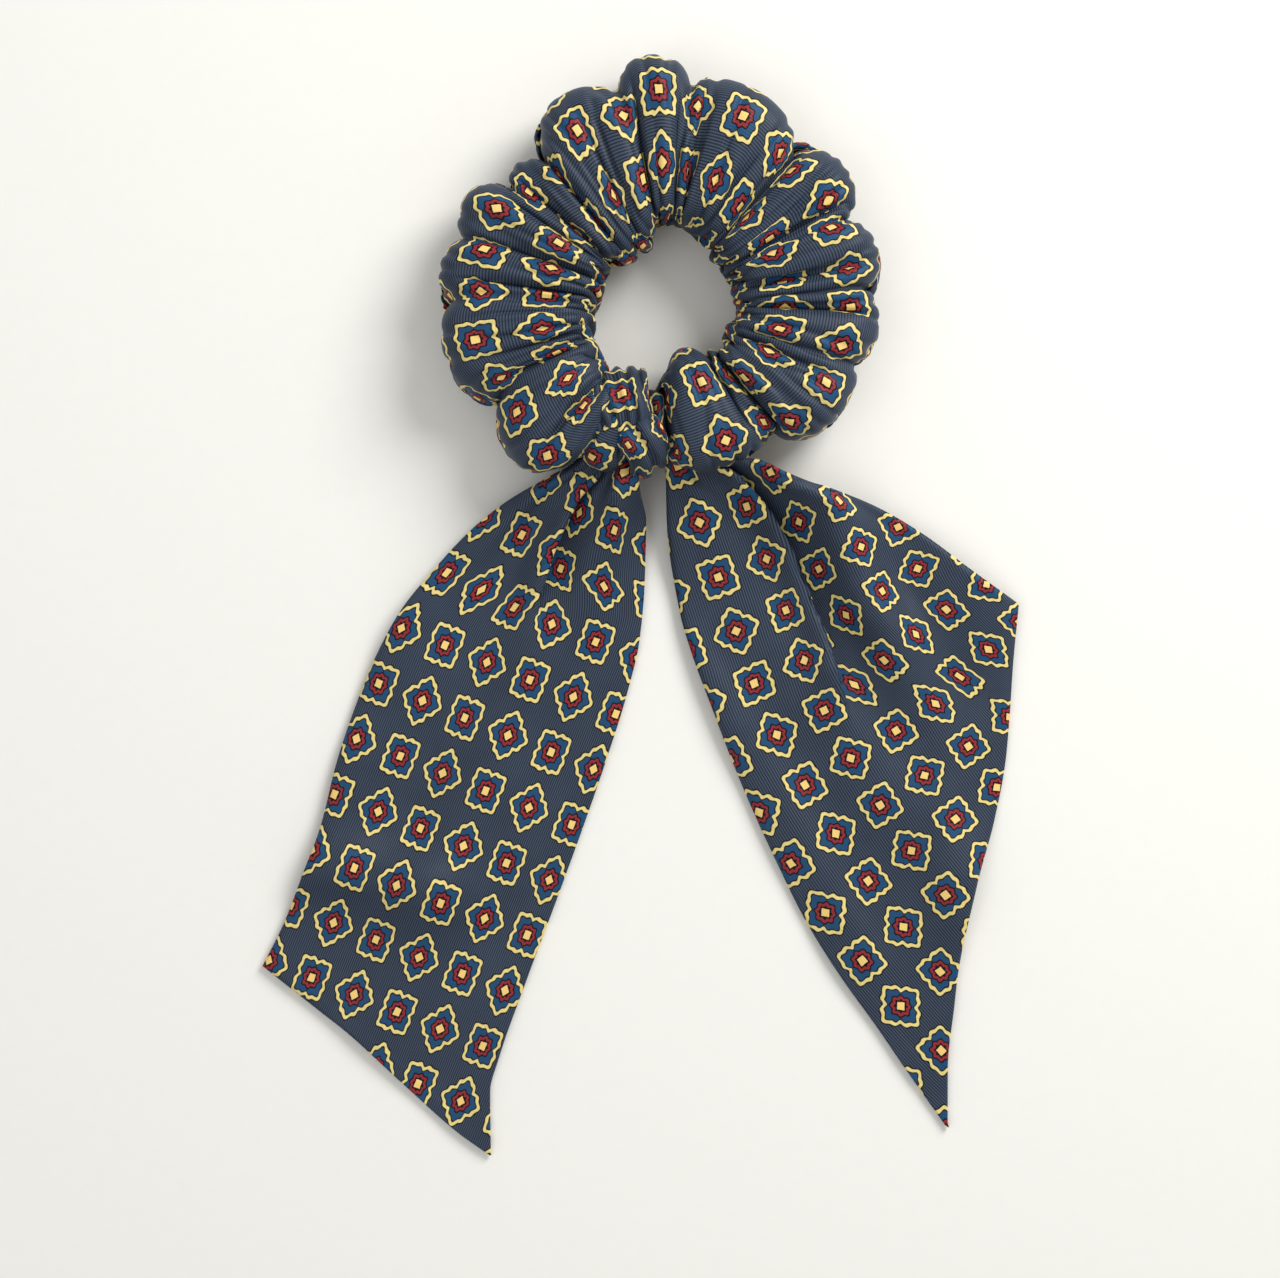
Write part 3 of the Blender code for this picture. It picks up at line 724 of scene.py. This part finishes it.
# the thread that joins the elastic's two ends is whipped round both
WHIPS, WHIP_STEP = 5, 1.6  # turns, and the degrees between them
WHIP_OUT, WHIP_HALF, WHIP_HIGH = 0.00065, 0.00145, 0.0034
corners = ((-1, -1), (1, -1), (1, 1), (-1, 1))
middle_of_hole = [*HOLE, TUBE_MIDDLE]
whip = []
for k in range(4 * WHIPS + 1):
    spot = elastic_line(np.array([JOIN_AT + (k / 4 - WHIPS / 2) * WHIP_STEP]))[0]
    outwards = (spot - middle_of_hole) / np.linalg.norm(spot - middle_of_hole)
    side, height = corners[k % 4]
    whip.append(spot + outwards * (WHIP_OUT + side * WHIP_HALF) + np.array([0, 0, height * WHIP_HIGH]))
join = thread_through("elastic_join_thread", np.array(whip), JOIN_THREAD, 6)
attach(join, "ring_lower")
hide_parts("elastic_stitch")

# ---- the tails: doubled cloth, rows run straight across at each distance down the tail ----------------
ROW_STEP, TAIL_COLUMNS, DENSE = 0.0013, 60, 420
LAYERS_HALF, EDGE_HALF, EDGE_BAND, EDGE_EASE = 0.00050, 0.00068, 0.0055, 0.0012
REST_HEIGHT, TAIL_LOWEST = 0.0010, 0.00012
PLEAT_GROWTH, FOLD_GROWTH = 2.4, 1.35
FOLD_EASE = 10.0  # how far from the fold its upper layer starts to rise
TAILS = {  # in millimetres: an edge is (y, x) pairs, and beside holds a swell's distance, height and spread
    "left": dict(
        top=40, corner=-89.4, tip=-137, cut=-8, lost=0.5, beside=(12, 7.0, 6.0), beside_from=(14, 34),
        over=(5.5, 10, 34, 44),
        lie=((-137, 0), (-60, 0), (8, 0.3), (22, 3.0), (33, 7.2), (40, 9.0)),
        fold=((2, -26), (10, -24.5), (16, -23), (27, -18), (34, -12), (40, -8)),
        pleats=((0.80, 1.5, 0.050, 5, 40), (0.17, 1.6, 0.06, 0, 34), (0.62, 1.3, 0.04, 14, 40),
                (0.33, 1.2, 0.04, 14, 40)),
        outer=((40, -13), (36, -17), (33, -23), (27.5, -33), (20, -42.6), (10, -52), (0, -60), (-10, -65.6),
               (-20, -70), (-37.4, -76), (-56, -80.7), (-69, -85.7), (-80, -90.2), (-89.4, -95)),
        end=((-89.4, -95), (-101.6, -79.6), (-106.4, -73.4), (-119, -59.8), (-131, -46.4), (-137, -38)),
        inner=((40, -2.5), (34, -0.6), (29, 0), (22.6, 1.4), (7.6, 1.1), (-7.4, -0.2), (-20, -3.1),
               (-37.4, -8.5), (-69.6, -19.9), (-91, -27.9), (-113.6, -35.9), (-121, -37.8), (-137, -37.6)),
    ),
    "right": dict(
        top=42, corner=1.6, tip=-130, cut=-10, lost=0.15, beside=(17, 9.0, 8.0), beside_from=(42, 50),
        over=(7.5, 34, 44, 46),
        lie=((-130, 0), (-60, 0), (2, 0.3), (20, 2.6), (33, 7.0), (42, 10.0)),
        fold=((-36, 55.5), (-31, 54), (-21, 50.4), (-6.6, 44.6), (3, 39.4), (12, 35.6), (22, 30.4),
              (32.4, 22), (38, 14), (42, 10)),
        pleats=((0.16, 1.7, 0.050, 8, 42), (0.30, 1.4, 0.035, 20, 42), (0.80, 0.9, 0.06, 2, 36)),
        outer=((42, 13), (38.5, 19), (37.4, 27.4), (33, 38), (26.6, 57.4), (19.6, 70), (10, 83), (1.6, 95)),
        end=((1.6, 95), (-13, 93.7), (-25.6, 92.9), (-37.4, 91.9), (-53, 88.9), (-68.4, 84.4), (-90, 80),
             (-99.6, 78.9), (-115, 77.3), (-130, 77.3)),
        inner=((42, 5.5), (36, 6.2), (22, 6.6), (-1, 10), (-10, 12.6), (-25.6, 18.4), (-37.4, 22.9),
               (-51, 28.6), (-64, 34.6), (-77, 41), (-91, 49.6), (-105, 59.6), (-114.4, 66), (-130, 77)),
    ),
}


def gaussian(values, width):
    """Smooths a line and keeps its ends."""
    reach = int(3 * width) + 1
    kernel = np.exp(-0.5 * (np.arange(-reach, reach + 1) / width) ** 2)
    kernel /= kernel.sum()
    ahead, behind = 2 * values[:1] - values[reach:0:-1], 2 * values[-1:] - values[-2:-reach - 2:-1]
    return np.convolve(np.concatenate([ahead, values, behind]), kernel, "valid")


def evened(x, z, count):
    """The line through x and z at equal steps of its own length, and those lengths."""
    length = np.concatenate([[0], np.cumsum(np.hypot(np.diff(x), np.diff(z)))])
    even = np.linspace(0, length[-1], count)
    return np.interp(even, length, x), np.interp(even, length, z), even


def folded(x, z, fold_at, over):
    """Lays a row in three runs: over the fold, back under it, and on along the surface."""
    left, right = x[0], x[-1]
    wide = right - left
    share = np.clip((fold_at - left) / wide, 0.12, 0.88)
    ridge, valley = left + share * wide + over / 2, left + share * wide - over / 2
    lift = FOLD_GROWTH * np.clip(over / 3.0, 0, 1)
    on_top, under = int(DENSE * share * 0.8), int(DENSE * 0.2)
    run1 = np.linspace(left, ridge, on_top)
    run2 = np.linspace(ridge, valley, under + 2)[1:-1]
    run3 = np.linspace(valley, right, DENSE - on_top - under)
    z1 = np.interp(run1, x, z) + lift * 3.3 * smooth_step(1 - (ridge - run1) / FOLD_EASE)
    z2 = np.interp(run2, x, z) + lift * np.linspace(3.1, 0.3, under)
    z3 = np.interp(run3, x, z)
    x, z, even = evened(np.concatenate([run1, run2, run3]), np.concatenate([z1, z2, z3]), DENSE)
    softness = 0.75 / (even[1] + 1e-9)
    return gaussian(x, softness), gaussian(z, softness)


def tail_row(side, y):
    """One row's middle line in millimetres, from the left edge to the right, at equal steps of the cloth."""
    shape = TAILS[side]
    outer = curve_through(shape["outer"] if y > shape["corner"] else shape["end"], y)
    inner = curve_through(shape["inner"], y)
    left, right = (outer, inner) if side == "left" else (inner, outer)
    right = max(right, left + 0.6)
    share = np.linspace(0, 1, DENSE)
    x = left + (right - left) * share
    fold_at = curve_through(shape["fold"], y)
    far, rise, spread = shape["beside"]
    start, span = shape["beside_from"]
    z = rise * smooth_step((y + start) / span) * np.exp(-((x - fold_at - far) / spread) ** 2)
    for place, tall, broad, low, high in shape["pleats"]:
        grow = smooth_step((y - low) / (high - low))
        z += tall * PLEAT_GROWTH * grow * np.exp(-0.5 * ((share - place) / broad) ** 2)
    most, start, span, end = shape["over"]
    over = most * smooth_step((y + start) / span) * smooth_step((end - y) / 12)
    if over > 0.02:
        x, z = folded(x, z, fold_at, over)
    x, z, even = evened(x, z, TAIL_COLUMNS + 1)
    return x, z + curve_through(shape["lie"], y), even


def tail_height(side, x, y):
    """The soft unevenness of cloth lying loose, in millimetres."""
    if side == "left":
        z = 4.6 * np.exp(-((y + 68 + 0.20 * (x + 60)) / 9) ** 2) * smooth_step((-30 - x) / 30)
        ends = smooth_step((22 - y) / 30) * smooth_step((y + 125) / 60)
        z += 2.8 * np.exp(-((x - 0.42 * y + 22) / 11) ** 2) * ends
        z += 2.6 * np.exp(-((x + 57) / 10) ** 2 - ((y - 2) / 22) ** 2)
        z += 2.2 * np.exp(-((x - 0.30 * y + 58) / 9) ** 2 - ((y + 40) / 34) ** 2)
    else:
        z = 2.8 * np.exp(-(((x - 62) * 0.8 + (y + 45) * 0.6) / 10) ** 2) * smooth_step((y + 120) / 40)
        z += 3.2 * np.exp(-((x - 80) / 13) ** 2 - ((y - 6) / 18) ** 2)
        ends = smooth_step((8 - y) / 30) * smooth_step((y + 125) / 50)
        z += 2.2 * np.exp(-((x + 0.55 * y - 8) / 7) ** 2) * ends
        z += 2.0 * np.exp(-((x - 78) / 7) ** 2 - ((y + 62) / 26) ** 2)
    z += 0.25 * np.sin(0.16 * x + 0.11 * y) + 0.2 * np.sin(0.09 * x - 0.17 * y + 1.0)
    return np.maximum(z, -0.15) + 0.15


# the left tail's grain runs straight, the right one's round a bend. A motif's middle lies at PRINT_AT
LEFT_GRAIN, LEFT_STRETCH, LEFT_PRINT_AT = (-0.372, -0.928), (1.115, 0.862), (-33.25, -31.3)
RIGHT_BEND_AT, RIGHT_BEND = (316.0, 120.0), 310.0
RIGHT_STRETCH, RIGHT_PRINT_AT = (1.045, 0.99), (75.6, -23.4)


def tail_cloth(side, x, y):
    """The place on the print for a place on the tail laid out flat."""
    def on_cloth(px, py):
        if side == "left":
            along = px * LEFT_GRAIN[0] + py * LEFT_GRAIN[1]
            across = -px * LEFT_GRAIN[1] + py * LEFT_GRAIN[0]
            stretch = LEFT_STRETCH
        else:
            dx, dy = px - RIGHT_BEND_AT[0], py - RIGHT_BEND_AT[1]
            along = RIGHT_BEND * np.unwrap(np.atleast_1d(np.arctan2(dy, dx)), axis=0)
            across = np.atleast_1d(np.hypot(dx, dy) - RIGHT_BEND)
            stretch = RIGHT_STRETCH
        return print_place(along * MM / stretch[0], across * MM / stretch[1])

    anchor_x, anchor_y = LEFT_PRINT_AT if side == "left" else RIGHT_PRINT_AT
    return on_cloth(x, y) - on_cloth(np.array([anchor_x]), np.array([anchor_y]))[0]


def tail_grid(side):
    """The tail's rows, cut so that one falls on each corner, and each point's place across the flat cloth."""
    shape = TAILS[side]
    stops = sorted((shape[stop] for stop in ("top", "cut", "corner", "tip")), reverse=True)
    ys = []
    for high, low in zip(stops, stops[1:]):
        ys += list(np.linspace(high, low, max(2, round((high - low) * MM / ROW_STEP)), endpoint=False))
    ys = np.array([*ys, stops[-1]])
    rows = [tail_row(side, y) for y in ys]
    x, z, cloth_x = (np.array(part) for part in zip(*rows))
    spare = cloth_x[:, -1:] - (x[:, -1:] - x[:, :1])  # what the folds take up
    cloth_x = x[:, :1] + cloth_x - spare * shape["lost"]
    y = np.repeat(ys[:, None], x.shape[1], 1)
    z = z + tail_height(side, x, y)
    return ys, x, y, z, cloth_x


def tail_pieces(side):
    """Both lengths of a tail, split at its cut row: two layers that swell at the sewn edges."""
    ys, x, y, z, cloth_x = tail_grid(side)
    middle = np.stack([x, y, z], -1) * MM
    middle[..., 2] += REST_HEIGHT
    normal = np.cross(np.gradient(middle, axis=1), np.gradient(middle, axis=0))
    normal /= np.linalg.norm(normal, axis=-1, keepdims=True) + 1e-12
    normal *= np.sign(normal[len(ys) // 2, TAIL_COLUMNS // 2, 2])
    wide = np.abs(cloth_x - cloth_x[:, :1]) * MM
    edge = np.minimum(wide, wide[:, -1:] - wide)
    half = LAYERS_HALF + (EDGE_HALF - LAYERS_HALF) * smooth_step((EDGE_BAND - edge) / EDGE_EASE)
    half = np.minimum(half, 0.00018 + 0.9 * np.sqrt(np.maximum(edge, 0) * 0.0007))  # rounded at the very edge
    faces, backs = middle + normal * half[..., None], middle - normal * half[..., None]
    grid = np.concatenate([faces, backs[:, ::-1]], 1)
    grid[..., 2] = np.maximum(grid[..., 2], TAIL_LOWEST)
    cloth = tail_cloth(side, cloth_x, y)
    cloth = np.concatenate([cloth, cloth[:, ::-1], cloth[:, :1]], 1)
    cut = int(np.argmin(np.abs(ys - TAILS[side]["cut"])))
    made = []
    for part, rows in (("upper", slice(0, cut + 1)), ("lower", slice(cut, len(ys)))):
        points = grid[rows]
        on_print = np.concatenate([cloth[rows], cloth[rows][-1:]])
        piece = piece_from_grid(f"{side}_tail_{part}", points, on_print, SCARF_SATIN, False, True)
        end_caps(piece, points.shape[0], points.shape[1])
        for face in piece.data.polygons[-2:]:
            face.use_smooth = False
        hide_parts(f"{side}_tail_{part}_face", f"{side}_tail_{part}_back")
        made.append(piece)
    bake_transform(made[0])
    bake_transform(made[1])




tail_pieces("left")
tail_pieces("right")


# ---- the scarf's loop over the ring, and the knot ----------------------------------------------------
BAND_STEPS, BAND_SIDES = 150, 72
BAND_POWER, GROOVE = 0.75, 0.0021
BAND_LOWEST = 0.0004


def band(name, centre, axis, out, half_out, half_up, wide, thick, pleats, seed, twist, shift, pinch):
    """A pleated band of cloth round an axis: it wraps in the plane of out and up.
    wide runs along the axis, thick away from it, and pinch is the share of its width lost on one side."""
    axis, out = np.array(axis, float), np.array(out, float)
    axis /= np.linalg.norm(axis)
    out = out - axis * (out @ axis)
    out /= np.linalg.norm(out)
    up = np.cross(axis, out)
    if up[2] < 0:
        up = -up
    round_band = np.linspace(0, 2 * np.pi, BAND_STEPS, endpoint=False)
    section = np.linspace(0, 2 * np.pi, BAND_SIDES, endpoint=False)
    a, s = np.meshgrid(round_band, section, indexing="ij")
    across, deep = squared(np.cos(s), BAND_POWER), squared(np.sin(s), BAND_POWER)
    random = np.random.default_rng(seed)
    crumple = np.zeros_like(a)
    for k in range(1, 6):
        size, phase = random.normal() / k, random.uniform(0, 6.28)
        crumple += size * np.cos(k * a + phase + across * random.normal() * 1.2)
    narrow = 1 - pinch * (0.5 + 0.5 * np.cos(a - math.pi / 2 + 0.6)) + 0.05 * crumple
    pleat_at = across * 0.5 + 0.07 * crumple + twist * np.sin(a)
    groove = 0.5 + 0.5 * np.cos(2 * np.pi * pleats * pleat_at + seed)
    groove = groove**3 * np.minimum(1, 1.6 * (1 - np.abs(across)) + 0.25)
    bulge = np.sqrt(np.maximum(1 - (0.82 * across) ** 2, 0.05)) * thick * 0.9 - thick * 0.55
    lift = np.where(deep > 0, 1.0, 0.0) * (bulge - GROOVE * groove)
    level = thick / 2 + deep * thick / 2
    reach_out, reach_up = (half + level + lift * np.clip(deep * 3, 0, 1) for half in (half_out, half_up))
    along_axis = across * wide / 2 * narrow + twist * wide * np.sin(a)
    points = (np.array(centre)[None, None] + along_axis[..., None] * axis
              + (reach_out * np.cos(a))[..., None] * out + (reach_up * np.sin(a))[..., None] * up)
    points[..., 2] = np.maximum(points[..., 2], BAND_LOWEST)
    a1, s1 = np.meshgrid(
        np.arange(BAND_STEPS + 1) / BAND_STEPS, np.arange(BAND_SIDES + 1) / BAND_SIDES, indexing="ij"
    )
    length = 2 * np.pi * (half_out + half_up) / 2 + np.pi * thick
    # gathered cloth holds more print than it spans
    cloth = print_place(a1 * length * 1.25, s1 * wide * 3.4, shift)
    piece = piece_from_grid(name, points, cloth, SCARF_SATIN, True, True)
    subdivide(piece)
    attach(piece, "ring_lower")
    return piece


loop = band(
    "scarf_wrap", centre=(-0.0062, 0.0485, 0.0118), axis=(1.0, 0.16, 0.0), out=(0.0, -1.0, 0.0),
    half_out=0.0082, half_up=0.0078, wide=0.0185, thick=0.0028,
    pleats=5.2, seed=5, twist=0.07, shift=(0.2, 0.1), pinch=0.16,
)
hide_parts("scarf_loop")
knot = band(
    "scarf_knot_wrap", centre=(-0.0012, 0.0412, 0.0128), axis=(0.86, 0.50, 0.0), out=(0.50, -0.86, -0.1),
    half_out=0.0052, half_up=0.0066, wide=0.0145, thick=0.0028,
    pleats=2.4, seed=11, twist=0.12, shift=(0.55, 0.3), pinch=0.22,
)
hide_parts("scarf_knot")
